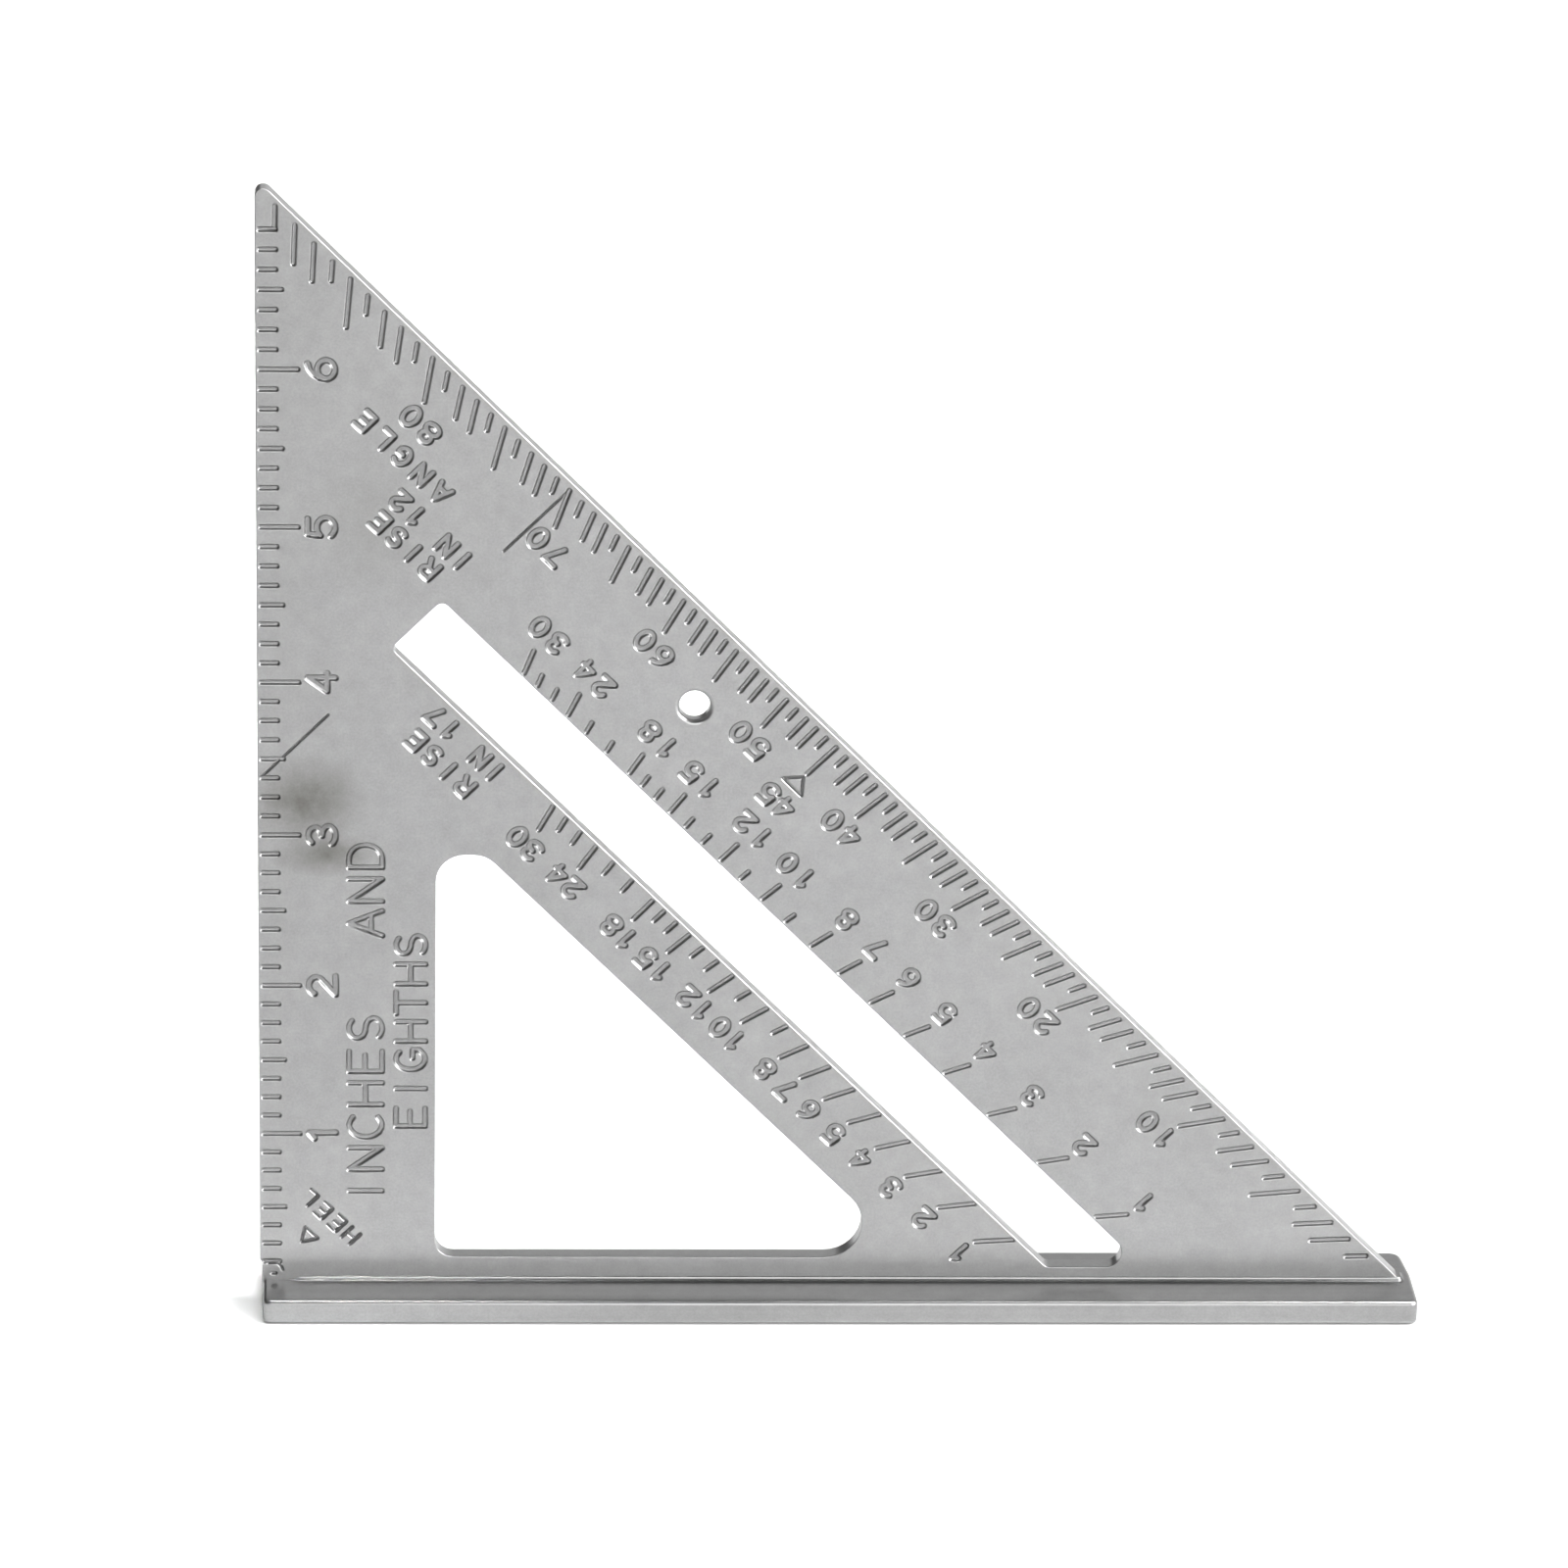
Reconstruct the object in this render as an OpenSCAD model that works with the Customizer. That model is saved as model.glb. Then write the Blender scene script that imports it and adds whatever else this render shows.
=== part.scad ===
// Rafter square: a 45 degree triangular blade standing on a T-shaped fence.
//
// X runs along the fence, away from the pivot corner. Z runs up the ruler edge.
// The marked face of the blade looks toward -Y. The origin is the middle of the
// fence's underside, at half the square's overall length.
//
// The blade is drawn flat in its own plane as (u, v): u is the distance from the
// ruler edge and v is the height above the fence's guide faces.

/* [Blade] */
// Each leg, from the pivot corner to the sharp corner that the hypotenuse would make
leg = 182.9; // [176:0.1:200]
// Thickness of the blade plate
blade_t = 3; // [2.5:0.1:4]
// Radius of the rounded top corner
tip_r = 1.3; // [0.5:0.1:3]
// How far the heel of the ruler edge steps in, just above the fence
heel_step = 0.3; // [0.1:0.1:1]
// Height of that step above the guide faces
heel_h = 3.2; // [1:0.1:5]

/* [Fence] */
// Overall width of the fence, across the blade
fence_w = 19.4; // [16:0.1:24]
// Thickness of the fence
fence_t = 4; // [3:0.1:6]
// How far the fence runs past the foot of the hypotenuse
fence_overhang = 1.9; // [0.5:0.1:4]
// Depth of the groove that the blade's foot sits in
seat_d = 1; // [0.5:0.1:1.5]
// Corner radius of the fence, seen from above
fence_r = 1.6; // [0.5:0.1:4]

/* [Scribing slot] */
// Plate between the hypotenuse and the slot
slot_band = 27.7; // [24:0.1:30]
// Width of the slot
slot_w = 11.1; // [8:0.1:12]
// Reach of the slot's upper end, measured along the hypotenuse from its middle
slot_reach = 61.2; // [50:0.1:64]
// Plate between the guide face and the slot's lower end
slot_rail = 2.35; // [2:0.05:6]
// Corner radius at the slot's upper end
slot_r = 1.2; // [0.6:0.1:3]
// Corner radius at the slot's pointed lower end
slot_tip_r = 2.6; // [1:0.1:3]

/* [Window] */
// Plate between the slot and the window
window_band = 13.8; // [12:0.1:16]
// Plate between the ruler edge and the window
window_side = 27.8; // [26:0.1:32]
// Height of the window's top edge above the guide faces
window_top = 72.95; // [60:0.05:74]
// Plate between the guide face and the window
window_rail = 4.1; // [3:0.1:8]
// Corner radius at the window's top left
window_r = 4.5; // [2:0.1:5]
// Corner radius at the window's lower left
window_low_r = 3; // [1:0.1:4]
// Corner radius at the window's pointed end
window_tip_r = 6; // [3:0.1:7]

/* [Hang hole] */
// Diameter of the hang hole
hole_d = 4.8; // [3:0.1:6]
// Distance of its centre from the hypotenuse
hole_inset = 12.1; // [8:0.1:16]
// Distance of its centre from the hypotenuse's middle, toward the tip
hole_shift = 21.3; // [10:0.1:30]

/* [Stamped scales] */
// Depth of the stamped marks
mark_d = 0.4; // [0.1:0.05:0.5]
// Width of the stamped marks
mark_w = 0.9; // [0.4:0.1:1]
// Height above the guide faces of the point that the degree marks are struck from
degree_rise = 1.2; // [0:0.1:1.5]
// Length of the eighth, half and whole inch marks
inch_marks = [3.7, 4.6, 7];
// Length of the degree marks next to a multiple of five, two away from it, and on it
degree_marks = [3.1, 5.2, 6.7];
// Distance of the 45 degree layout line from the pivot corner, measured along the hypotenuse
layout_line = 60.3; // [55:0.1:65]
// How far that line runs in, from the ruler edge and from the hypotenuse
layout_run = 15.7; // [10:0.1:20]

/* [Hidden] */
$fn = 96;
tip_steps = 9;
inch = 25.4;
eps = 0.02;

fence_x0 = heel_step;
fence_x1 = leg + fence_overhang;
x_mid = fence_x1 / 2;
half_t = blade_t / 2;

// Lines that run parallel to the hypotenuse are u + v = constant
function diagonal(inset) = leg - inset * sqrt(2);
hypotenuse = diagonal(0);
slot_outer = diagonal(slot_band);
slot_inner = diagonal(slot_band + slot_w);
window_outer = diagonal(slot_band + slot_w + window_band);

// The point at distance n from the pivot corner, square to the hypotenuse, and at s along it
function across(n, s) = [(n + s) / sqrt(2), (n - s) / sqrt(2)];
hole_at = across(leg / sqrt(2) - hole_inset, -hole_shift);

// Scales struck from the pivot: rise in 12 for common rafters, rise in 17 for hips and valleys
common_run = 12;
hip_run = 17;
numbered_rises = [30, 24, 18, 15, 12, 10, 8, 7, 6, 5, 4, 3, 2, 1];
plain_rises = [28, 26, 22, 20, 17, 16, 14, 13, 11, 9];
rise_marks = [2.4, 4.2];
hip_marks = [2.8, 4.9];
edge_gap = 0.8;
slot_gap = 0.4;
layout_ends = [
    [layout_line + edge_gap, layout_line + layout_run],
    [leg / sqrt(2) - layout_run, leg / sqrt(2) - edge_gap]
];

// Unit vector from one point toward another
function toward(a, b) = (b - a) / norm(b - a);

// Radius r laid into the corner at point i of a convex outline: tangent points and centre
function prev_dir(p, i) = toward(p[i], p[(i + len(p) - 1) % len(p)]);
function next_dir(p, i) = toward(p[i], p[(i + 1) % len(p)]);
function half_angle(p, i) = acos(prev_dir(p, i) * next_dir(p, i)) / 2;
function tangent_length(p, i, r) = r / tan(half_angle(p, i));
function corner_centre(p, i, r) =
    p[i] + toward([0, 0], prev_dir(p, i) + next_dir(p, i)) * r / sin(half_angle(p, i));

// A convex outline with its own radius at each corner
module rounded(p, radii) {
    tangent_points = [
        for (i = [0:len(p) - 1], d = [prev_dir(p, i), next_dir(p, i)])
            p[i] + d * tangent_length(p, i, radii[i])
    ];
    polygon(tangent_points);
    for (i = [0:len(p) - 1]) translate(corner_centre(p, i, radii[i])) circle(r = radii[i]);
}

// Stands a flat (u, v) drawing up in the blade's plane, from y0 toward +Y
module stand(y0, thick) {
    translate([-x_mid, y0 + thick, fence_t])
    rotate([90, 0, 0])
    linear_extrude(thick) children();
}

// One stamped line from a to b in the marked face
module mark(a, b) {
    along = b - a;
    translate([-x_mid + a[0], -half_t, fence_t + a[1]])
    rotate([0, -atan2(along[1], along[0]), 0])
    translate([0, -eps, -mark_w / 2])
    cube([norm(along), mark_d + eps, mark_w]);
}

// A mark on the ray at a given angle, between two lines parallel to the hypotenuse
function on_ray(angle, sum, rise) =
    [cos(angle), sin(angle)] * (sum - rise) / (cos(angle) + sin(angle)) + [0, rise];
module ray_mark(angle, start, length, rise = 0) {
    mark(on_ray(angle, start, rise), on_ray(angle, start - length * sqrt(2), rise));
}

// Eighths of an inch up the ruler edge
module inch_scale() {
    eighths = floor((leg - 3) / inch * 8);
    for (i = [1:eighths]) {
        kind = i % 8 == 0 ? 2 : (i % 4 == 0 ? 1 : 0);
        v = i * inch / 8;
        mark([edge_gap / 2, v], [inch_marks[kind], v]);
    }
}

// Degrees along the hypotenuse, measured up from the fence
module degree_scale() {
    for (a = [1:89]) {
        off = min(a % 5, 5 - a % 5);
        length = off == 0 ? degree_marks[2] : (off == 2 ? degree_marks[1] : degree_marks[0]);
        ray_mark(a, diagonal(edge_gap), length, degree_rise);
    }
}

// Rafter rises along one side of the slot: run is the base that the rise is measured against
module rise_scale(run, start, side, lengths) {
    for (r = numbered_rises) ray_mark(atan(r / run), start, side * lengths[1]);
    for (r = plain_rises) ray_mark(atan(r / run), start, side * lengths[0]);
}

// The 45 degree layout line: one stretch at the ruler edge and one at the hypotenuse
module layout_scale() {
    for (ends = layout_ends) mark(across(ends[0], -layout_line), across(ends[1], -layout_line));
}

module blade_outline() {
    tip_u = tip_r;
    tip_v = leg - tip_r * (1 + sqrt(2));
    tip_arc = [
        for (i = [0:tip_steps])
            let (a = 180 - i * 135 / tip_steps)
            [tip_u, tip_v] + tip_r * [cos(a), sin(a)]
    ];
    difference() {
        polygon(concat(
            [[heel_step, -seat_d], [heel_step, heel_h], [0, heel_h + heel_step]],
            tip_arc,
            [[leg, 0], [leg, -seat_d]]
        ));
        translate(hole_at) circle(d = hole_d);
    }
}

module slot_outline() {
    end_gap = slot_reach * sqrt(2);
    rounded([
        [(slot_inner - end_gap) / 2, (slot_inner + end_gap) / 2],
        [slot_inner - slot_rail, slot_rail],
        [slot_outer - slot_rail, slot_rail],
        [(slot_outer - end_gap) / 2, (slot_outer + end_gap) / 2]
    ], [slot_r, slot_r, slot_tip_r, slot_r]);
}

module window_outline() {
    rounded([
        [window_side, window_rail],
        [window_outer - window_rail, window_rail],
        [window_outer - window_top, window_top],
        [window_side, window_top]
    ], [window_low_r, window_tip_r, window_r, window_r]);
}

module blade() {
    color("silver")
    difference() {
        stand(-half_t, blade_t) blade_outline();
        stand(-half_t - 1, blade_t + 2) slot_outline();
        stand(-half_t - 1, blade_t + 2) window_outline();
        inch_scale();
        degree_scale();
        layout_scale();
        rise_scale(common_run, slot_outer + slot_gap * sqrt(2), -1, rise_marks);
        rise_scale(hip_run, slot_inner - slot_gap * sqrt(2), 1, hip_marks);
    }
}

module fence() {
    long = fence_x1 - fence_x0;
    color("darkgray")
    difference() {
        translate([fence_x0 - x_mid, -fence_w / 2, 0])
        linear_extrude(fence_t)
        rounded([[0, 0], [long, 0], [long, fence_w], [0, fence_w]],
                [fence_r, fence_r, fence_r, fence_r]);
        translate([fence_x0 - x_mid - 1, -half_t, fence_t - seat_d])
        cube([leg - fence_x0 + 1, blade_t, seat_d + 1]);
    }
}

blade();
fence();
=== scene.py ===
"""Looks for a rafter square: a stamped aluminium blade standing on the fence that guides it.

Shapes are worked out flat, in millimetres, and go to metres in the CAD frame when a mesh is made. On the
blade, u runs along the fence from the ruler edge and v runs up from the guide face. On the fence, u is the
same and v runs from front to back. Depth is always into the metal from the face that is looked at.
"""

import math

import bpy
import numpy as np
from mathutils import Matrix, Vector
from mathutils.geometry import delaunay_2d_cdt

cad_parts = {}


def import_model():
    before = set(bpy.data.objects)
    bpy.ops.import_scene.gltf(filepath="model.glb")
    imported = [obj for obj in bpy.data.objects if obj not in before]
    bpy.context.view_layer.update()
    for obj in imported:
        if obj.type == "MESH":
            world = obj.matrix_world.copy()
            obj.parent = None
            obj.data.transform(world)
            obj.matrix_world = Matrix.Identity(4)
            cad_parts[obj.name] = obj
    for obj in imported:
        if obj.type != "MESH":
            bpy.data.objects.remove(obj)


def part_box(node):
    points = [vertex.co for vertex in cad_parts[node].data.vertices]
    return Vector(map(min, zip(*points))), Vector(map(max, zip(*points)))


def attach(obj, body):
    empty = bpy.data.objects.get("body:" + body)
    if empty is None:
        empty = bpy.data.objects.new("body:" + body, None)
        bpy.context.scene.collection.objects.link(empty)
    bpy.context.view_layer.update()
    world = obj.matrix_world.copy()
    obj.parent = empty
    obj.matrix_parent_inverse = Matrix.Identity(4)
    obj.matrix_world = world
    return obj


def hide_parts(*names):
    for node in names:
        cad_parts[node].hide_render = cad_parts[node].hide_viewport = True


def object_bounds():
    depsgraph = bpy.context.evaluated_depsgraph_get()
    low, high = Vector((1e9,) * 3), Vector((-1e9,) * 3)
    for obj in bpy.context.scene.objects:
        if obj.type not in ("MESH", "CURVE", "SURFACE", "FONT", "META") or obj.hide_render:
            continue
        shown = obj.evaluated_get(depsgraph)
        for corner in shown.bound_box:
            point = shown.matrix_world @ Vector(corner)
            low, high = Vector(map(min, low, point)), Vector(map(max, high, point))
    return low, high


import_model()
cad_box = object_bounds()

# ---------------------------------------------------------------- sizes, from the frame where it has them
MM = 0.001
blade_lo, blade_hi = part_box("blade")
fence_lo, fence_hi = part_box("fence")
LEG = (blade_hi.x - blade_lo.x) / MM
BLADE_T = (blade_hi.y - blade_lo.y) / MM
FENCE_T = (fence_hi.z - fence_lo.z) / MM
FENCE_HALF = (fence_hi.y - fence_lo.y) / MM / 2
FENCE_U0 = (fence_lo.x - blade_lo.x) / MM
FENCE_U1 = (fence_hi.x - blade_lo.x) / MM
FOOT = (fence_hi.z - blade_lo.z) / MM
INCH = 25.4
ROOT2 = math.sqrt(2)

# Blade edges: the heel is a shallow step where the ruler edge meets the fence, and the toe is the far corner
TIP_R = 1.3
HEEL_H = 3.2
HEEL_R = 0.4
TOE_R = 0.7
FOOT_R = 0.3
BLADE_RIM = 0.17
HOLE_RIM = 0.8

# The fence bar has no groove, so the blade's foot runs on into it by this much, out of sight
FOOT_EXTRA = 1

# Scribing slot: the plate outside it, its width, its reach along the hypotenuse from the middle, the plate
# under it, and its corners' radii
SLOT_BAND, SLOT_W, SLOT_REACH, SLOT_RAIL = 27.7, 11.1, 61.2, 2.35
SLOT_R, SLOT_TIP_R = 1.2, 2.6

# Window: the plate between it and the slot, the plate at the ruler edge, its top's height, the plate under
# it, and its corners' radii
WINDOW_BAND, WINDOW_SIDE, WINDOW_TOP, WINDOW_RAIL = 13.8, 27.8, 72.95, 4.1
WINDOW_R, WINDOW_LOW_R, WINDOW_TIP_R = 4.5, 3.0, 6.0

# Hang hole: its radius, its distance from the hypotenuse, and how far it is past its middle, toward the tip
HOLE_R, HOLE_INSET, HOLE_SHIFT = 2.4, 12.1, 21.3

# Stamping: depth, the width of its sloping walls, a level hair inside its edge, and half the strokes' widths
STAMP_D = 0.52
STAMP_WALL = 0.48
STAMP_LIP = 0.012
MARK_R = 0.58
FIGURE_R = 0.68
LEGEND_R = 0.62

# Fence edges and the fillet along the blade's foot, which swells to the blade's thickness over its taper
FENCE_RIM = 0.7
FILLET_R = 0.7
FILLET_START = 3.8
FILLET_TAPER, FILLET_TAPER_R = 2.5, 2

# Colours of worn edges, of painted shade in the stamped recesses and of old grime, and how much of the first
# two shows
WORN, WORN_SHARE = (0.5, 0.5, 0.5), 0.3
# Painted shade: a dark colour mixed into the stamped strokes, standing in for the shade that falls in them
RECESS_SHADE, RECESS_SHADE_SHARE = (0.08, 0.08, 0.08), 0.32
GRIME = (0.05, 0.046, 0.03)

# How finely things are cut: corners, stroke ends, arcs of figures, rounded edges and the strokes' walls
ARC_STEP = math.radians(12)
CAP_STEPS = 6
GLYPH_STEP = 18
RIM_STEPS = [1 - math.cos(math.radians(a)) for a in (0, 18, 36, 54, 72, 90)]
WALL_STEPS = (0.0, 0.5, 1.0)


# ---------------------------------------------------------------- strokes: what the dies press into a face
def run(*points):
    """Straight strokes through these points."""
    return [(np.array([a, b], float), False) for a, b in zip(points, points[1:])]


def arc(cu, cv, ru, rv, start=0, end=360):
    """A stroke along an ellipse's arc, or all the way round it."""
    closed = abs(end - start) == 360
    count = max(3, round(abs(end - start) / GLYPH_STEP))
    a = np.radians(np.linspace(start, end, count + 1))
    points = np.stack([cu + ru * np.cos(a), cv + rv * np.sin(a)], 1)
    return [(points[:-1] if closed else points, closed)]


# The face that strokes are drawn on
FRONT, BACK = 1, -1

# Figures and capitals on a grid 4 wide and 6 high, and how much wider than that they are cut
GLYPH_WIDE = 1.2
GLYPHS = {
    "0": arc(2, 3, 1.8, 3),
    "1": run((1, 4.8), (2.2, 6), (2.2, 0)),
    "2": arc(2, 4.3, 1.7, 1.7, 165, -40) + run((3.3, 3.2), (0.2, 0), (3.9, 0)),
    "3": arc(1.9, 4.5, 1.6, 1.5, 150, -90) + arc(1.9, 1.5, 1.9, 1.5, 90, -150),
    "4": run((2.9, 0), (2.9, 6), (0.3, 1.8), (3.8, 1.8)),
    "5": run((3.6, 6), (0.7, 6), (0.4, 3.2)) + arc(1.9, 2, 1.9, 2, 142, -145),
    "6": arc(2, 1.9, 1.8, 1.9) + arc(3.8, 1.9, 3.6, 4.1, 178, 100),
    "7": run((0.2, 6), (3.8, 6), (1.4, 0)),
    "8": arc(2, 4.55, 1.5, 1.45) + arc(2, 1.55, 1.9, 1.55),
    "9": arc(2, 4.1, 1.8, 1.9) + arc(0.2, 4.1, 3.6, 4.1, 0, -80),
    "A": run((0, 0), (2, 6), (4, 0)) + run((0.7, 2), (3.3, 2)),
    "C": arc(2.2, 3, 2, 3, 50, 310),
    "D": run((1.7, 6), (0.3, 6), (0.3, 0), (1.7, 0)) + arc(1.7, 3, 2.2, 3, 90, -90),
    "E": run((3.6, 6), (0.3, 6), (0.3, 0), (3.6, 0)) + run((0.3, 3.1), (3, 3.1)),
    "G": arc(2.2, 3, 2, 3, 50, 330) + run((2.4, 2.6), (3.9, 2.6), (3.9, 1.2)),
    "H": run((0.2, 0), (0.2, 6)) + run((3.8, 0), (3.8, 6)) + run((0.2, 3), (3.8, 3)),
    "I": run((2, 0), (2, 6)),
    "L": run((0.5, 6), (0.5, 0), (3.6, 0)),
    "N": run((0.2, 0), (0.2, 6), (3.8, 0), (3.8, 6)),
    "R": run((2.3, 6), (0.3, 6), (0.3, 0))
    + arc(2.3, 4.5, 1.5, 1.5, 90, -90)
    + run((2.3, 3), (0.3, 3))
    + run((2.1, 3), (3.8, 0)),
    "S": arc(2, 4.5, 1.6, 1.5, 40, 270) + arc(2, 1.5, 1.7, 1.5, 90, -140),
    "T": run((0, 6), (4, 6)) + run((2, 6), (2, 0)),
    " ": [],
}


def stroke(shape, radius):
    """A placed stroke: its points, whether it closes on itself, and half its width."""
    points, closed = shape
    return (points, closed, radius)


def write(text, centre, height, turn, pitch=0, radius=FIGURE_R, side=FRONT):
    """Text on one line about centre, reading in the direction turn (degrees), with letters pitch apart.

    On the back it is drawn the other way round, so that it reads from behind.
    """
    scale = height / 6
    c, s = math.cos(math.radians(turn)), math.sin(math.radians(turn))
    made = []
    for i, letter in enumerate(text):
        shift = (i - (len(text) - 1) / 2) * pitch
        for points, closed in GLYPHS[letter]:
            local = ((points - [2, 3]) * [scale * GLYPH_WIDE, scale] + [shift, 0]) * [side, 1]
            turned = np.stack([local[:, 0] * c - local[:, 1] * s, local[:, 0] * s + local[:, 1] * c], 1)
            made.append((turned + centre, closed, radius))
    return made


def across(n, s):
    """The point at distance n from the pivot corner, square to the hypotenuse, and at s along it."""
    return np.array([(n + s) / ROOT2, (n - s) / ROOT2])


def mark(a, b, radius=MARK_R):
    """A straight mark whose rounded ends reach a and b."""
    a, b = np.array(a, float), np.array(b, float)
    along = (b - a) / np.linalg.norm(b - a)
    return [(np.array([a + along * radius, b - along * radius]), False, radius)]


def on_ray(angle, n, rise=0.0):
    """Where the ray at this angle, from rise above the pivot corner, reaches distance n (see across)."""
    reach = (n * ROOT2 - rise) / (math.cos(angle) + math.sin(angle))
    return np.array([math.cos(angle) * reach, math.sin(angle) * reach + rise])


# ---------------------------------------------------------------- the scales
READ_DIAGONAL = 135
READ_UP = 90
HYPOTENUSE_N = LEG / ROOT2

# Ruler: from where to where its marks run across, the bare stretch at the tip, and its figures
RULER_START = 0.12
RULER_LONG, RULER_HALF, RULER_EIGHTH = 7.0, 4.6, 3.7
RULER_BARE = 6
INCHES_U, INCHES_H = 10.0, 4.2

# Degree marks: height they are struck from, outer ends, and inner ends by how far each is from a five
DEGREE_RISE = 1.2
DEGREE_OUT = HYPOTENUSE_N - 0.7
DEGREE_IN = {0: 121.9, 1: 125.5, 2: 123.4}
DEGREE_IN_45 = 121.2

# Degree figures, and the 45 with the triangle that points at its mark, all in distances (n, s) as in across,
# and half the width of the triangles' strokes
DEGREE_FIGURE_N, DEGREE_FIGURE_H, DEGREE_FIGURE_PITCH = 119.3, 3.1, 3.9
FIGURE_45, PITCH_45 = (115.3, -1), 3.4
POINTER_45 = ((121, -0.9), (118.7, -3), (118.7, 1.1))
POINTER_R = 0.42

# Rises in 12 for common rafters and in 17 for hips: where the marks start, where numbered and plain ones end
# and where the figures stand, in distances from the pivot corner square to the hypotenuse
COMMON = dict(run_length=12, start=101.75, numbered_end=106.4, plain_end=104.5, figure_n=109.3, pitch=3.8)
HIP = dict(run_length=17, start=90.41, numbered_end=85.0, plain_end=87.1, figure_n=82.4, pitch=3.3)
NUMBERED = (30, 24, 18, 15, 12, 10, 8, 7, 6, 5, 4, 3, 2, 1)
PLAIN = (28, 26, 22, 20, 17, 16, 14, 13, 11, 9)
RISE_H = 3.0

# The 45 degree layout line: where it lies along the hypotenuse, and its stretches square to it
LAYOUT_S = -60.3
LAYOUT_STRETCHES = ((61.1, 76.2), (113.7, 128.5))
LAYOUT_R = 0.32

# Plain words for what each scale reads: middle, height, direction, pitch and half the stroke's width
LEGENDS = (
    ("ANGLE", across(113.8, -82), 2.8, READ_DIAGONAL, 4.1, FIGURE_R),
    ("RISE", across(103.9, -71.6), 2.8, READ_DIAGONAL, 3.6, FIGURE_R),
    ("IN 12", across(108.4, -70.4), 2.8, READ_DIAGONAL, 3.4, FIGURE_R),
    ("RISE", across(82.5, -42.3), 2.8, READ_DIAGONAL, 3.6, FIGURE_R),
    ("IN 17", across(87.5, -41.9), 2.8, READ_DIAGONAL, 3.3, FIGURE_R),
    ("INCHES", (16.8, 29.5), 5.2, READ_UP, 5.6, LEGEND_R),
    ("AND", (16.8, 67), 5.2, READ_UP, 5.6, LEGEND_R),
    ("EIGHTHS", (23.9, 43), 4.6, READ_UP, 4.9, LEGEND_R),
    ("HEEL", (11.2, 11), 2.5, READ_DIAGONAL, 3.1, 0.44),
)

# The triangle that points at the pivot corner, and the hollow at the corner itself: an arc over a short floor
HEEL_POINTER = ((6.6, 6.6), (7.2, 9.2), (9.2, 7.2))
HOLLOW_ARC, HOLLOW_ARC_R = (2.1, 1.5, 1.5, 1.5, 10, 120), 0.4
HOLLOW_FLOOR, HOLLOW_FLOOR_R = ((1.5, 1.1), (2.9, 1.1)), 0.45


def ruler(side=FRONT):
    """Inches and eighths up the ruler edge, with the inch figures beside them."""
    strokes = []
    for i in range(1, int((LEG - RULER_BARE) / INCH * 8) + 1):
        v = i * INCH / 8
        reach = RULER_LONG if i % 8 == 0 else RULER_HALF if i % 4 == 0 else RULER_EIGHTH
        strokes += mark((RULER_START, v), (reach, v))
    for inch in range(1, 7):
        strokes += write(str(inch), (INCHES_U, inch * INCH), INCHES_H, READ_UP, side=side)
    return strokes


def pointer(corners):
    """A small triangle drawn through three points."""
    return [stroke(s, POINTER_R) for s in run(*corners, corners[0])]


def degrees(side=FRONT):
    """Every degree along the hypotenuse, numbered by tens, with 45 singled out."""
    strokes = []
    for a in range(1, 90):
        off = min(a % 5, 5 - a % 5)
        ray = math.radians(a)
        inner = DEGREE_IN_45 if a == 45 else DEGREE_IN[off]
        strokes += mark(on_ray(ray, DEGREE_OUT, DEGREE_RISE), on_ray(ray, inner, DEGREE_RISE))
    for a in range(10, 90, 10):
        place = on_ray(math.radians(a), DEGREE_FIGURE_N, DEGREE_RISE)
        strokes += write(str(a), place, DEGREE_FIGURE_H, READ_DIAGONAL, DEGREE_FIGURE_PITCH, side=side)
    strokes += write("45", across(*FIGURE_45), DEGREE_FIGURE_H, READ_DIAGONAL, PITCH_45, side=side)
    return strokes + pointer([across(n, s) for n, s in POINTER_45])


def rafters(run_length, start, numbered_end, plain_end, figure_n, pitch):
    """Rises along one side of the slot, struck from the pivot corner, each figure over its mark's end."""
    strokes = []
    for rises, end in ((NUMBERED, numbered_end), (PLAIN, plain_end)):
        for rise in rises:
            ray = math.atan(rise / run_length)
            strokes += mark(on_ray(ray, start), on_ray(ray, end))
    for rise in NUMBERED:
        u, v = on_ray(math.atan(rise / run_length), numbered_end)
        strokes += write(str(rise), across(figure_n, (u - v) / ROOT2), RISE_H, READ_DIAGONAL, pitch)
    return strokes


def layout_line():
    """The 45 degree layout line: a stretch at the ruler edge and one at the hypotenuse."""
    strokes = []
    for near, far in LAYOUT_STRETCHES:
        strokes += mark(across(near, LAYOUT_S), across(far, LAYOUT_S), LAYOUT_R)
    return strokes


def legends():
    """The words beside the scales."""
    strokes = []
    for text, centre, height, turn, pitch, radius in LEGENDS:
        strokes += write(text, centre, height, turn, pitch, radius)
    return strokes


def heel_marks():
    """The triangle that points at the pivot corner, and the hollow worn round the corner itself."""
    strokes = pointer(HEEL_POINTER)
    strokes += [stroke(s, HOLLOW_ARC_R) for s in arc(*HOLLOW_ARC)]
    strokes += mark(*HOLLOW_FLOOR, HOLLOW_FLOOR_R)
    return strokes


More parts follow.
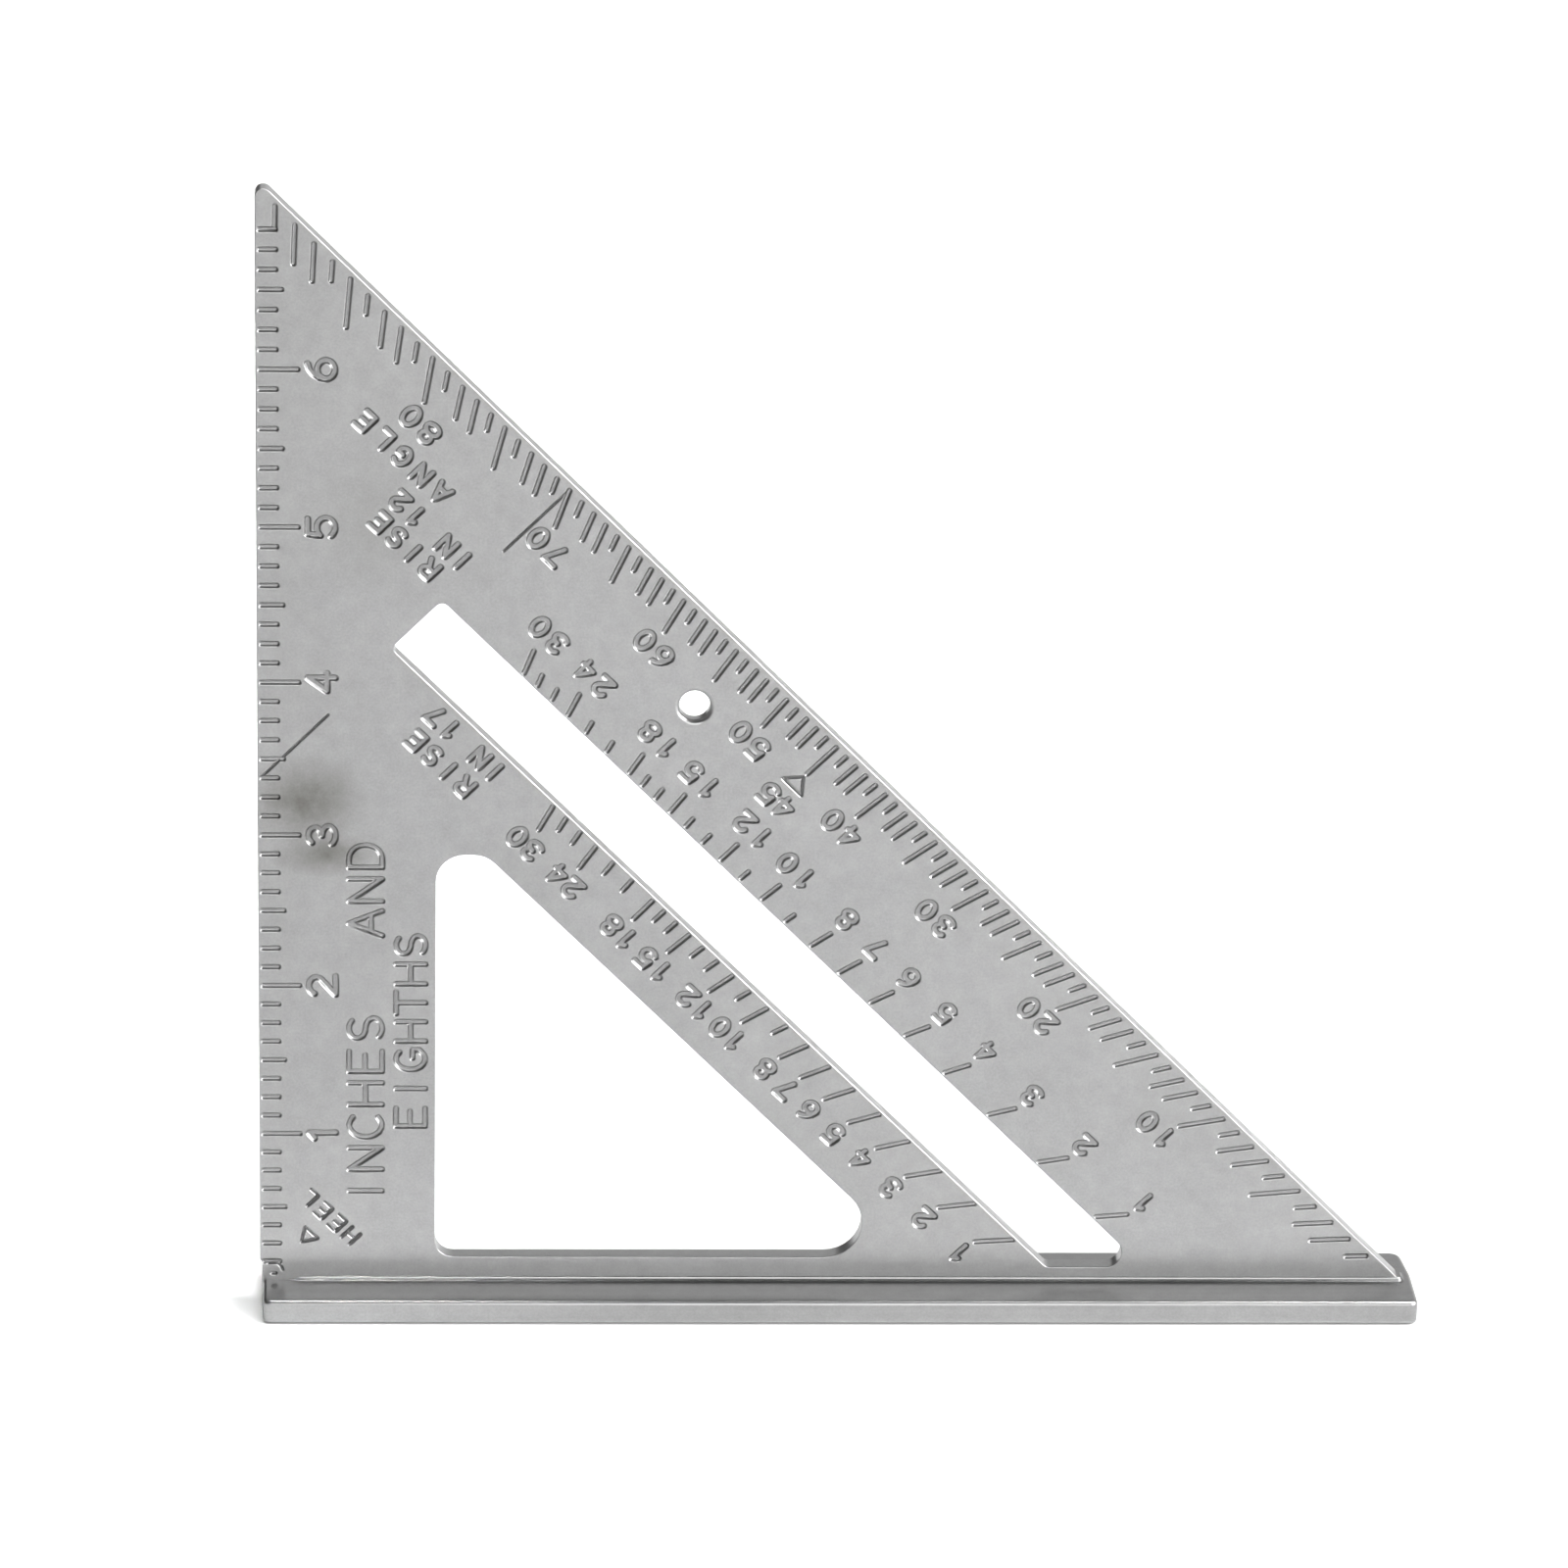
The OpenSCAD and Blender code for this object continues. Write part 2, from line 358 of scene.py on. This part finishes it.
# ---------------------------------------------------------------- outlines
def outline(corners, grow=0.0):
    """The closed line round anticlockwise (u, v, radius) corners, moved outward by grow, and its normals."""
    points, normals = [], []
    for i, (u, v, radius) in enumerate(corners):
        here = Vector((u, v))
        into = (here - Vector(corners[i - 1][:2])).normalized()
        onward = (Vector(corners[(i + 1) % len(corners)][:2]) - here).normalized()
        first = Vector((into.y, -into.x))
        second = Vector((onward.y, -onward.x))
        turn = math.atan2(into.cross(onward), into.dot(onward))
        signed = math.copysign(radius, turn)
        centre = here - (first + second) / (1 + first.dot(second)) * signed
        steps = max(1, math.ceil(abs(turn) / ARC_STEP))
        for k in range(steps + 1):
            a = turn * k / steps
            c, s = math.cos(a), math.sin(a)
            normal = Vector((first.x * c - first.y * s, first.x * s + first.y * c))
            points.append(centre + normal * (signed + grow))
            normals.append(normal)
    return np.array(points), np.array(normals)


def blade_corners():
    """The plate's outline, from the buried foot round by the toe, the tip and the heel."""
    return [
        (FENCE_U0, -FOOT - FOOT_EXTRA, FOOT_R),
        (LEG, -FOOT - FOOT_EXTRA, FOOT_R),
        (LEG, 0, TOE_R),
        (0, LEG, TIP_R),
        (0, HEEL_H + FENCE_U0, HEEL_R),
        (FENCE_U0, HEEL_H, HEEL_R),
    ]


def slot_corners():
    """The scribing slot, along the hypotenuse."""
    outer = LEG - SLOT_BAND * ROOT2
    inner = LEG - (SLOT_BAND + SLOT_W) * ROOT2
    gap = SLOT_REACH * ROOT2
    return [
        ((inner - gap) / 2, (inner + gap) / 2, SLOT_R),
        (inner - SLOT_RAIL, SLOT_RAIL, SLOT_R),
        (outer - SLOT_RAIL, SLOT_RAIL, SLOT_TIP_R),
        ((outer - gap) / 2, (outer + gap) / 2, SLOT_R),
    ]


def window_corners():
    """The triangular window, cut off at its top."""
    outer = LEG - (SLOT_BAND + SLOT_W + WINDOW_BAND) * ROOT2
    return [
        (WINDOW_SIDE, WINDOW_RAIL, WINDOW_LOW_R),
        (outer - WINDOW_RAIL, WINDOW_RAIL, WINDOW_TIP_R),
        (outer - WINDOW_TOP, WINDOW_TOP, WINDOW_R),
        (WINDOW_SIDE, WINDOW_TOP, WINDOW_R),
    ]


def hole_corners():
    """The hang hole: a square with its corners rounded until hardly any side is left."""
    u, v = across(HYPOTENUSE_N - HOLE_INSET, -HOLE_SHIFT)
    return [
        (u + du * HOLE_R, v + dv * HOLE_R, HOLE_R * 0.999)
        for du, dv in ((-1, -1), (1, -1), (1, 1), (-1, 1))
    ]


# ---------------------------------------------------------------- surfaces as depth over a flat drawing
# Side of the squares that points are sorted into, so that each is held only against the strokes near it
CELL = 5.0

# How far an edge is looked for: times the radius of a rim or fillet, and millimetres past a stroke's side
RIM_LOOK, STROKE_LOOK = 1.5, 0.01

# How much of a rounded edge's quarter circle is used, so that its slope stays finite
ROUND_PART = 0.9995

# How far inside the fillet's foot the drawing has one more line, under the blade
FOOT_INSET = 0.1


def cover(points, starts, ends, radii, reach):
    """How far inside its nearest segment's capsule each point is, from -reach up, and the way out of it."""
    best = np.full(len(points), -float(reach))
    away = np.zeros((len(points), 2))
    keys = np.floor(points / CELL).astype(int)
    lows = np.minimum(starts, ends) - (radii + reach)[:, None]
    highs = np.maximum(starts, ends) + (radii + reach)[:, None]
    for key in np.unique(keys, axis=0):
        inside = np.flatnonzero((keys == key).all(axis=1))
        near = np.flatnonzero(((lows < (key + 1) * CELL) & (highs > key * CELL)).all(axis=1))
        if not len(near):
            continue
        a, along = starts[near], (ends - starts)[near]
        p = points[inside][:, None, :]
        t = ((p - a) * along).sum(-1) / np.maximum((along**2).sum(-1), 1e-12)
        gap = p - a - np.clip(t, 0, 1)[..., None] * along
        distance = np.linalg.norm(gap, axis=-1)
        inner = radii[near] - distance
        pick = inner.argmax(axis=1)
        rows = np.arange(len(inside))
        deepest = inner[rows, pick]
        better = deepest > best[inside]
        best[inside[better]] = deepest[better]
        unit = gap[rows, pick] / np.maximum(distance[rows, pick], 1e-9)[:, None]
        away[inside[better]] = unit[better]
    return best, away


def segments(loop, closed=True):
    """Where each segment of a line starts and ends."""
    ends = np.roll(loop, -1, axis=0)
    return (loop, ends) if closed else (loop[:-1], ends[:-1])


def rounding(inset, radius):
    """Depth of a rounded edge at this inset from it, and the depth's slope."""
    left = np.clip(radius - inset, 0, radius * ROUND_PART)
    height = np.sqrt(radius**2 - left**2)
    return radius - height, -left / height


def stroke_loops(points, closed, radius):
    """The closed lines round a stroke that keep just outside this distance from it."""
    ahead = np.roll(points, -1, axis=0) - points
    ahead /= np.linalg.norm(ahead, axis=1)[:, None]
    behind = np.roll(ahead, 1, axis=0)
    if not closed:
        ahead[-1], behind[0] = behind[-1], ahead[0]
    along = ahead + behind
    along /= np.linalg.norm(along, axis=1)[:, None]
    side = np.stack([along[:, 1], -along[:, 0]], 1) * (radius / (along * ahead).sum(axis=1))[:, None]
    right, left = points + side, (points - side)[::-1]
    if closed:
        return [right, left]
    loop = []
    for flank, centre, heading in ((right, points[-1], ahead[-1]), (left, points[0], -ahead[0])):
        first = math.atan2(-heading[0], heading[1])
        turns = [first + math.pi * (k + 0.5) / CAP_STEPS for k in range(CAP_STEPS)]
        corner = radius / math.cos(math.pi / 2 / CAP_STEPS)
        loop += list(flank) + [centre + corner * np.array([math.cos(a), math.sin(a)]) for a in turns]
    return [np.array(loop)]


class Face:
    """One broad face of a plate: its borders, what is stamped into it, and a fillet that may stand on it.

    A border is its corners, 1 round the plate or -1 round an opening, and the radius of its rounded edge.
    """

    def __init__(self, borders, strokes=(), fillet=None):
        self.borders, self.strokes, self.fillet = borders, list(strokes), fillet

    def loops(self):
        """The closed lines that the face's flat drawing is cut along."""
        made = []
        for corners, out, rim in self.borders:
            made += [outline(corners, -out * rim * t)[0] for t in RIM_STEPS]
        for points, closed, radius in self.strokes:
            for t in WALL_STEPS:
                made += stroke_loops(points, closed, radius - STAMP_WALL * t)
        if self.fillet:
            corners, radius = self.fillet
            made += [outline(corners, grow)[0] for grow in [-FOOT_INSET] + [radius * t for t in RIM_STEPS]]
        return made

    def depth(self, points):
        """Each point's depth, the depth's gradient, how worn it is and how pressed in (both 0 to 1)."""
        depth, gradient = np.zeros(len(points)), np.zeros((len(points), 2))

        # Rounded edges
        for corners, _, rim in self.borders:
            starts, ends = segments(outline(corners)[0])
            inset, away = cover(points, starts, ends, np.zeros(len(starts)), rim * RIM_LOOK)
            low, slope = rounding(-inset, rim)
            deeper = low > depth
            depth = np.where(deeper, low, depth)
            gradient = np.where(deeper[:, None], away * slope[:, None], gradient)
        worn = np.clip(np.linalg.norm(gradient, axis=1), 0, 1)
        pressed = np.zeros(len(points))

        # Strokes with S-shaped walls: wide ones have a level floor, and thin ones stay a little shallower
        if self.strokes:
            pairs = [segments(p, closed) + (radius,) for p, closed, radius in self.strokes]
            starts = np.concatenate([a for a, _, _ in pairs])
            ends = np.concatenate([b for _, b, _ in pairs])
            radii = np.concatenate([np.full(len(a), radius) for a, _, radius in pairs])
            inner, away = cover(points, starts, ends, radii, STROKE_LOOK)
            t = np.clip((inner - STAMP_LIP) / (STAMP_WALL - STAMP_LIP), 0, 1)
            stamped = STAMP_D * t * t * (3 - 2 * t)
            fall = -STAMP_D * 6 * t * (1 - t) / (STAMP_WALL - STAMP_LIP)
            deeper = stamped > depth
            depth = np.where(deeper, stamped, depth)
            gradient = np.where(deeper[:, None], away * fall[:, None], gradient)
            worn = np.where(deeper, 0, worn)
            # How far into a stroke each point lies, which the materials use to paint shade into the strokes,
            # darker toward their floors
            pressed = np.where(deeper, t * t, 0)

        # The fillet, which rises to its radius at the foot and stays level under the blade
        if self.fillet:
            corners, radius = self.fillet
            foot = outline(corners)[0]
            starts, ends = segments(foot)
            reach, away = cover(points, starts, ends, np.zeros(len(starts)), radius * RIM_LOOK)
            inside = within(points, foot)
            low, slope = rounding(np.where(inside, 0, -reach), radius)
            depth = depth - np.where(inside, radius, low)
            gradient = gradient - np.where(inside[:, None], 0, away * slope[:, None])
        return depth, gradient, worn, pressed


def within(points, loop):
    """Which points are inside a closed line."""
    a, b = segments(loop)
    x, y = points[:, 0, None], points[:, 1, None]
    crosses = (a[:, 1] > y) != (b[:, 1] > y)
    rise = np.where(b[:, 1] == a[:, 1], 1, b[:, 1] - a[:, 1])
    at = a[:, 0] + (y - a[:, 1]) * (b[:, 0] - a[:, 0]) / rise
    return (crosses & (x < at)).sum(axis=1) % 2 == 1


# Points of the drawing closer than this are joined
JOIN = 0.005


def triangulate(face):
    """The face's flat drawing in triangles, where each border point went, and the triangles' open edges."""
    loops = face.loops()
    points = np.concatenate(loops)
    edges, start = [], 0
    for loop in loops:
        n = len(loop)
        edges += [(start + k, start + (k + 1) % n) for k in range(n)]
        start += n
    flat, _, triangles, origins, _, _ = delaunay_2d_cdt([Vector(p) for p in points], edges, [], 0, JOIN)
    flat = np.array(flat)
    triangles = np.array(triangles)
    centres = flat[triangles].mean(axis=1)
    keep = np.ones(len(triangles), bool)
    for corners, out, _ in face.borders:
        inside = within(centres, outline(corners)[0])
        keep &= inside if out > 0 else ~inside
    went = {}
    for new, olds in enumerate(origins):
        for old in olds:
            went[old] = new
    kept = triangles[keep]
    sides = {(a, b) for cut in kept.tolist() for a, b in zip(cut, cut[1:] + cut[:1])}
    return flat, kept, went, [(a, b) for a, b in sides if (b, a) not in sides]


def chains(ring, onward):
    """For each point of a ring, that point and whatever the cutting added before the next one."""
    made = []
    for first, stop in zip(ring, ring[1:] + ring[:1]):
        chain = [first]
        while first != stop and onward[chain[-1]] != stop:
            chain.append(onward[chain[-1]])
        made.append(chain)
    return made


def smooth_object(name, vertices, normals, faces, marks):
    """A smooth object of those vertices that its faces use, with their normals and each mark's values."""
    used = sorted({i for f in faces for i in f})
    index = {old: new for new, old in enumerate(used)}
    faces = [tuple(dict.fromkeys(index[i] for i in f)) for f in faces]
    mesh = bpy.data.meshes.new(name)
    mesh.from_pydata([vertices[i] for i in used], [], [f for f in faces if len(f) > 2])
    for title, values in marks.items():
        mesh.attributes.new(title, "FLOAT", "POINT").data.foreach_set("value", [values[i] for i in used])
    mesh.polygons.foreach_set("use_smooth", [True] * len(mesh.polygons))
    mesh.normals_split_custom_set_from_vertices([normals[i] for i in used])
    obj = bpy.data.objects.new(name, mesh)
    bpy.context.scene.collection.objects.link(obj)
    return obj


def plate(name, front, back, thick, place, turn):
    """A closed plate between two faces. place and turn put points and directions in the CAD frame."""
    vertices, normals, faces, rings = [], [], [], []
    marks = {"worn": [], "pressed": []}
    for face, facing in ((front, -1.0), (back, 1.0)):
        flat, triangles, went, open_edges = triangulate(face)
        depth, gradient, worn, pressed = face.depth(flat)
        normal = np.column_stack([gradient, np.full(len(flat), facing)])
        base, start, face_rings = len(vertices), 0, []
        for corners, out, rim in face.borders:
            outward = outline(corners)[1] * out
            onward = {a: b for a, b in open_edges} if out > 0 else {b: a for a, b in open_edges}
            ring = chains([went[start + k] for k in range(len(outward))], onward)
            for chain, way in zip(ring, outward):
                normal[chain] = (*way, 0)
                depth[chain] = rim
                worn[chain] = 0.0
            face_rings.append([[base + at for at in chain] for chain in ring])
            start += len(outward) * len(RIM_STEPS)
        rings.append(face_rings)
        normal /= np.linalg.norm(normal, axis=1)[:, None]
        level = depth if facing < 0 else thick - depth
        vertices += [place(*point) for point in np.column_stack([flat, level]).tolist()]
        normals += [turn(*way).normalized() for way in normal.tolist()]
        marks["worn"] += worn.tolist()
        marks["pressed"] += pressed.tolist()
        order = triangles if facing < 0 else triangles[:, ::-1]
        faces += (order + base).tolist()
    for (_, out, _), near, far in zip(front.borders, *rings):
        for k in range(len(near)):
            j = (k + 1) % len(near)
            wall = near[k] + near[j][:1] + far[j][:1] + far[k][::-1]
            faces.append(wall[::-1] if out > 0 else wall)
    return smooth_object(name, vertices, normals, faces, marks)


# ---------------------------------------------------------------- the two pieces
def blade():
    """The plate with its openings, the scales on its marked face, and inches and degrees on its back."""
    borders = [
        (blade_corners(), 1, BLADE_RIM),
        (window_corners(), -1, BLADE_RIM),
        (slot_corners(), -1, BLADE_RIM),
        (hole_corners(), -1, HOLE_RIM),
    ]
    stamped = ruler() + degrees() + layout_line() + legends() + heel_marks()
    stamped += rafters(**COMMON) + rafters(**HIP)
    x0, y0, z0 = blade_lo.x, blade_lo.y, fence_hi.z
    return plate(
        "blade_stamped",
        Face(borders, stamped),
        Face(borders, ruler(BACK) + degrees(BACK)),
        BLADE_T,
        lambda u, v, d: (x0 + u * MM, y0 + d * MM, z0 + v * MM),
        lambda u, v, d: Vector((u, d, v)),
    )


def fence():
    """The bar under the blade, with the fillet that rises round the blade's foot."""
    half, web = FENCE_HALF, BLADE_T / 2

    # Seen from above, its left end is a hair short in front and its right end falls away toward the back
    plan = [
        (FENCE_U0 + 0.3, -half, 1.3),
        (FENCE_U1, -half, 1.3),
        (FENCE_U1 - 0.02, 1.0, 10),
        (FENCE_U1 - 0.9, half, 2.0),
        (FENCE_U0, half, 1.0),
    ]

    # The fillet's foot: blunt at the left, then as wide as the blade up to its toe
    foot = [
        (FILLET_START, 0.5 - web, 0.3),
        (FILLET_START + FILLET_TAPER, -web, FILLET_TAPER_R),
        (LEG, -web, 0.5),
        (LEG, web, 0.5),
        (FILLET_START + FILLET_TAPER, web, FILLET_TAPER_R),
        (FILLET_START, web - 0.5, 0.3),
    ]
    x0, top = blade_lo.x, fence_hi.z
    return plate(
        "fence_bar",
        Face([(plan, 1, FENCE_RIM)], fillet=(foot, FILLET_R)),
        Face([(plan, 1, FENCE_RIM)]),
        FENCE_T,
        lambda u, v, d: (x0 + u * MM, v * MM, top - d * MM),
        lambda u, v, d: Vector((u, v, -d)),
    )


# ---------------------------------------------------------------- materials
# Scales of the alloy's patterns and of the smudges' unevenness, and the streaks' along x, y and z
MOTTLE_SCALE, CLOUD_SCALE, GRAIN_SCALE, BLOT_SCALE = 45.0, 420.0, 2600.0, 260.0
STREAK_SCALE = (12.0, 900.0, 900.0)

# How far each pattern moves the grey, as a share of it, how far mottling moves the roughness, and the depth
# of the grain in metres
MOTTLE_SWING, CLOUD_SWING, GRAIN_SWING = 0.1, 0.14, 0.16
ROUGH_SWING = 0.05
GRAIN_D = 0.00003


def add(tree, kind, settings=None, **sockets):
    """A node with its settings, and each socket either linked or given a value."""
    made = tree.nodes.new(kind)
    for key, value in (settings or {}).items():
        setattr(made, key, value)
    for key, value in sockets.items():
        socket = made.inputs[key.replace("_", " ")]
        if isinstance(value, bpy.types.NodeSocket):
            tree.links.new(value, socket)
        else:
            socket.default_value = value
    return made


def noise(tree, here, scale, detail, **sockets):
    """A procedural noise over the object."""
    return add(tree, "ShaderNodeTexNoise", Vector=here, Scale=scale, Detail=detail, **sockets).outputs["Fac"]


def spread(tree, value, low, high):
    """A factor from 0 to 1 turned into the range low to high."""
    return add(tree, "ShaderNodeMapRange", Value=value, To_Min=low, To_Max=high).outputs["Result"]


def times(tree, first, second):
    """Two factors multiplied."""
    made = add(tree, "ShaderNodeMath", {"operation": "MULTIPLY"})
    tree.links.new(first, made.inputs[0])
    tree.links.new(second, made.inputs[1])
    return made.outputs["Value"]


def blend(tree, factor, first, second):
    """The first colour, turning into the second one as the factor goes to 1."""
    made = add(tree, "ShaderNodeMix", {"data_type": "RGBA"}, Factor=factor)
    tree.links.new(first, made.inputs["A"])
    made.inputs["B"].default_value = (*second, 1)
    return made.outputs["Result"]


def spot(tree, here, centre, radii):
    """1 at a place on the object, fading to 0 at the edge of a soft, uneven blot round it."""
    place = add(tree, "ShaderNodeMapping", Vector=here)
    place.inputs["Scale"].default_value = [1 / r for r in radii]
    place.inputs["Location"].default_value = [-c / r for c, r in zip(centre, radii)]
    away = add(tree, "ShaderNodeVectorMath", {"operation": "LENGTH"}, Vector=place.outputs["Vector"])
    soft = spread(tree, away.outputs["Value"], 1.0, 0.0)
    uneven = noise(tree, here, BLOT_SCALE, 5.0, Roughness=0.65)
    return times(tree, soft, spread(tree, uneven, 0.2, 1.8))


def alloy(name, grey, roughness, streak, stains=()):
    """Bare cast aluminium: mottled, grained and streaked, with worn edges, painted shade in the stamped
    recesses, and stains.
    """
    made = bpy.data.materials.new(name)
    made.use_nodes = True
    tree = made.node_tree
    shader = tree.nodes["Principled BSDF"]
    here = add(tree, "ShaderNodeTexCoord").outputs["Object"]
    mottle = noise(tree, here, MOTTLE_SCALE, 6.0, Roughness=0.6)
    cloud = noise(tree, here, CLOUD_SCALE, 4.0, Roughness=0.6)
    grain = noise(tree, here, GRAIN_SCALE, 3.0, Roughness=0.6)
    stretched = add(tree, "ShaderNodeMapping", Vector=here)
    stretched.inputs["Scale"].default_value = STREAK_SCALE
    streaks = noise(tree, stretched.outputs["Vector"], 1.0, 4.0)

    tone = spread(tree, mottle, grey * (1 - MOTTLE_SWING), grey * (1 + MOTTLE_SWING))
    for pattern, swing in ((cloud, CLOUD_SWING), (grain, GRAIN_SWING), (streaks, streak)):
        tone = times(tree, tone, spread(tree, pattern, 1 - swing, 1 + swing))
    bare = add(tree, "ShaderNodeCombineColor")
    for channel in range(3):
        tree.links.new(tone, bare.inputs[channel])
    colour = bare.outputs["Color"]
    for centre, radii, share in stains:
        colour = blend(tree, spread(tree, spot(tree, here, centre, radii), 0.0, share), colour, GRIME)
    worn = add(tree, "ShaderNodeAttribute", {"attribute_name": "worn"}).outputs["Fac"]
    pressed = add(tree, "ShaderNodeAttribute", {"attribute_name": "pressed"}).outputs["Fac"]
    colour = blend(tree, spread(tree, worn, 0.0, WORN_SHARE), colour, WORN)
    # Painted shade: the stamped strokes are darkened toward their floors, standing in for the shade in them
    colour = blend(tree, spread(tree, pressed, 0.0, RECESS_SHADE_SHARE), colour, RECESS_SHADE)
    tree.links.new(colour, shader.inputs["Base Color"])
    rough = spread(tree, mottle, roughness - ROUGH_SWING, roughness + ROUGH_SWING)
    tree.links.new(rough, shader.inputs["Roughness"])
    shader.inputs["Metallic"].default_value = 1.0
    bump = add(tree, "ShaderNodeBump", Height=grain, Strength=0.2, Distance=GRAIN_D)
    tree.links.new(bump.outputs["Normal"], shader.inputs["Normal"])
    return made


def on_blade(u, v):
    """A place on the blade's marked face, in the CAD frame."""
    return (blade_lo.x + u * MM, blade_lo.y, fence_hi.z + v * MM)


def finish_piece(obj, node, material):
    """Puts the piece on the fixed body in place of its CAD node, with its material."""
    obj.data.materials.append(material)
    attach(obj, "root")
    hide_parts(node)


# Old smudges on the marked face: the middle, the reach along x, y and z, and how much grime shows
SMUDGES = (
    (on_blade(7.5, 82), (0.010, 0.002, 0.008), 0.62),
    (on_blade(10.5, 73), (0.009, 0.002, 0.004), 0.6),
    (on_blade(18, 128), (0.012, 0.002, 0.012), 0.14),
)


# ---------------------------------------------------------------- studio
FLOOR_SIDE = 3.0
FLOOR_GAP = 0.00005
AMBIENT = 0.12

# Lights: place, aim, size, power and the angle of the beam. The pools are narrow beams that whiten the
# stretches of floor seen past the square or mirrored in it. The others are wide and make its highlights.
LIGHTS = {
    "pool_behind": ((0.70, 0.62, 1.5), (0.15, 0.62, 0), (1.2, 0.85), 4.2, 16),
    "pool_front": ((0.77, -0.33, 1.5), (0.22, -0.33, 0), (0.56, 0.68), 0.72, 10),
    "pool_right": ((1.11, -0.12, 1.5), (0.56, -0.12, 0), (0.8, 0.42), 1.4, 10),
    "side": ((1.72, -1.2, 0.73), (0, 0, 0.08), (1.6, 0.9), 62.0, 180),
    "key": ((1.72, -0.26, 1.43), (0, 0, 0.08), (0.73, 0.73), 38.0, 180),
    "front": ((0.08, -1.58, 0.62), (0, 0, 0), (1.0, 0.8), 10.0, 180),
    "behind": ((0.35, 1.6, 0.42), (0, 0, 0), (1.6, 0.9), 4.4, 180),
    "pool_left": ((-0.16, 0.03, 1.5), (-0.16, 0.03, 0), (0.16, 0.12), 0.06, 5),
}

# View: degrees to the right of straight in front, above level and of tilt, then the point (u, v) looked at on
# the marked face, the distance to it in metres, and the lens
VIEW_RIGHT, VIEW_ABOVE, VIEW_TILT = -2.821, 21.054, 1.246
VIEW_AIM = (81.96, 85.12)
VIEW_DISTANCE = 1.1657
SENSOR, LENS = 36, 171.6


def floor():
    """A wide pale floor, a hair under the square so that they share no plane."""
    side = FLOOR_SIDE
    mesh = bpy.data.meshes.new("floor")
    corners = [(-side, -side, 0), (side, -side, 0), (side, side, 0), (-side, side, 0)]
    mesh.from_pydata(corners, [], [(0, 1, 2, 3)])
    obj = bpy.data.objects.new("floor", mesh)
    obj.location.z = cad_box[0].z - FLOOR_GAP
    bpy.context.scene.collection.objects.link(obj)
    pale = bpy.data.materials.new("floor_pale")
    pale.use_nodes = True
    shader = pale.node_tree.nodes["Principled BSDF"]
    shader.inputs["Base Color"].default_value = (0.88, 0.88, 0.88, 1)
    shader.inputs["Roughness"].default_value = 0.9
    mesh.materials.append(pale)


def world():
    """A weak, even white light from all round."""
    made = bpy.data.worlds.new("studio")
    made.use_nodes = True
    background = made.node_tree.nodes["Background"]
    background.inputs["Color"].default_value = (1, 1, 1, 1)
    background.inputs["Strength"].default_value = AMBIENT
    bpy.context.scene.world = made


def camera():
    """A long lens from in front and above, tilted a little as the hand-held view was."""
    azimuth, elevation, roll = map(math.radians, (VIEW_RIGHT, VIEW_ABOVE, VIEW_TILT))
    level = math.cos(elevation)
    back = Vector((math.sin(azimuth) * level, -math.cos(azimuth) * level, math.sin(elevation)))
    data = bpy.data.cameras.new("camera")
    data.sensor_width = SENSOR
    data.lens = LENS
    data.clip_start, data.clip_end = 0.05, 20
    obj = bpy.data.objects.new("camera", data)
    obj.location = Vector(on_blade(*VIEW_AIM)) + back * VIEW_DISTANCE
    turn = (-back).to_track_quat("-Z", "Y").to_matrix()
    right, up = turn.col[0].copy(), turn.col[1].copy()
    turn.col[0] = right * math.cos(roll) + up * math.sin(roll)
    turn.col[1] = up * math.cos(roll) - right * math.sin(roll)
    obj.rotation_euler = turn.to_euler()
    bpy.context.scene.collection.objects.link(obj)
    bpy.context.scene.camera = obj


def softbox(name, place, aim, size, power, beam):
    """A soft rectangular light with a grid that keeps its beam within an angle, in degrees."""
    light = bpy.data.lights.new(name, "AREA")
    light.shape = "RECTANGLE"
    light.size, light.size_y = size
    light.energy = power
    light.spread = math.radians(beam)
    obj = bpy.data.objects.new(name, light)
    obj.visible_camera = False
    obj.location = place
    obj.rotation_euler = (Vector(aim) - Vector(place)).to_track_quat("-Z", "Y").to_euler()
    bpy.context.scene.collection.objects.link(obj)


# ---------------------------------------------------------------- the scene
blade_alloy = alloy("blade_alloy", grey=0.325, roughness=0.3, streak=0.01, stains=SMUDGES)
fence_alloy = alloy("fence_alloy", grey=0.29, roughness=0.32, streak=0.12)
finish_piece(blade(), "blade", blade_alloy)
finish_piece(fence(), "fence", fence_alloy)
floor()
world()
camera()
for name, settings in LIGHTS.items():
    softbox(name, *settings)
bpy.context.scene.view_settings.view_transform = "Standard"
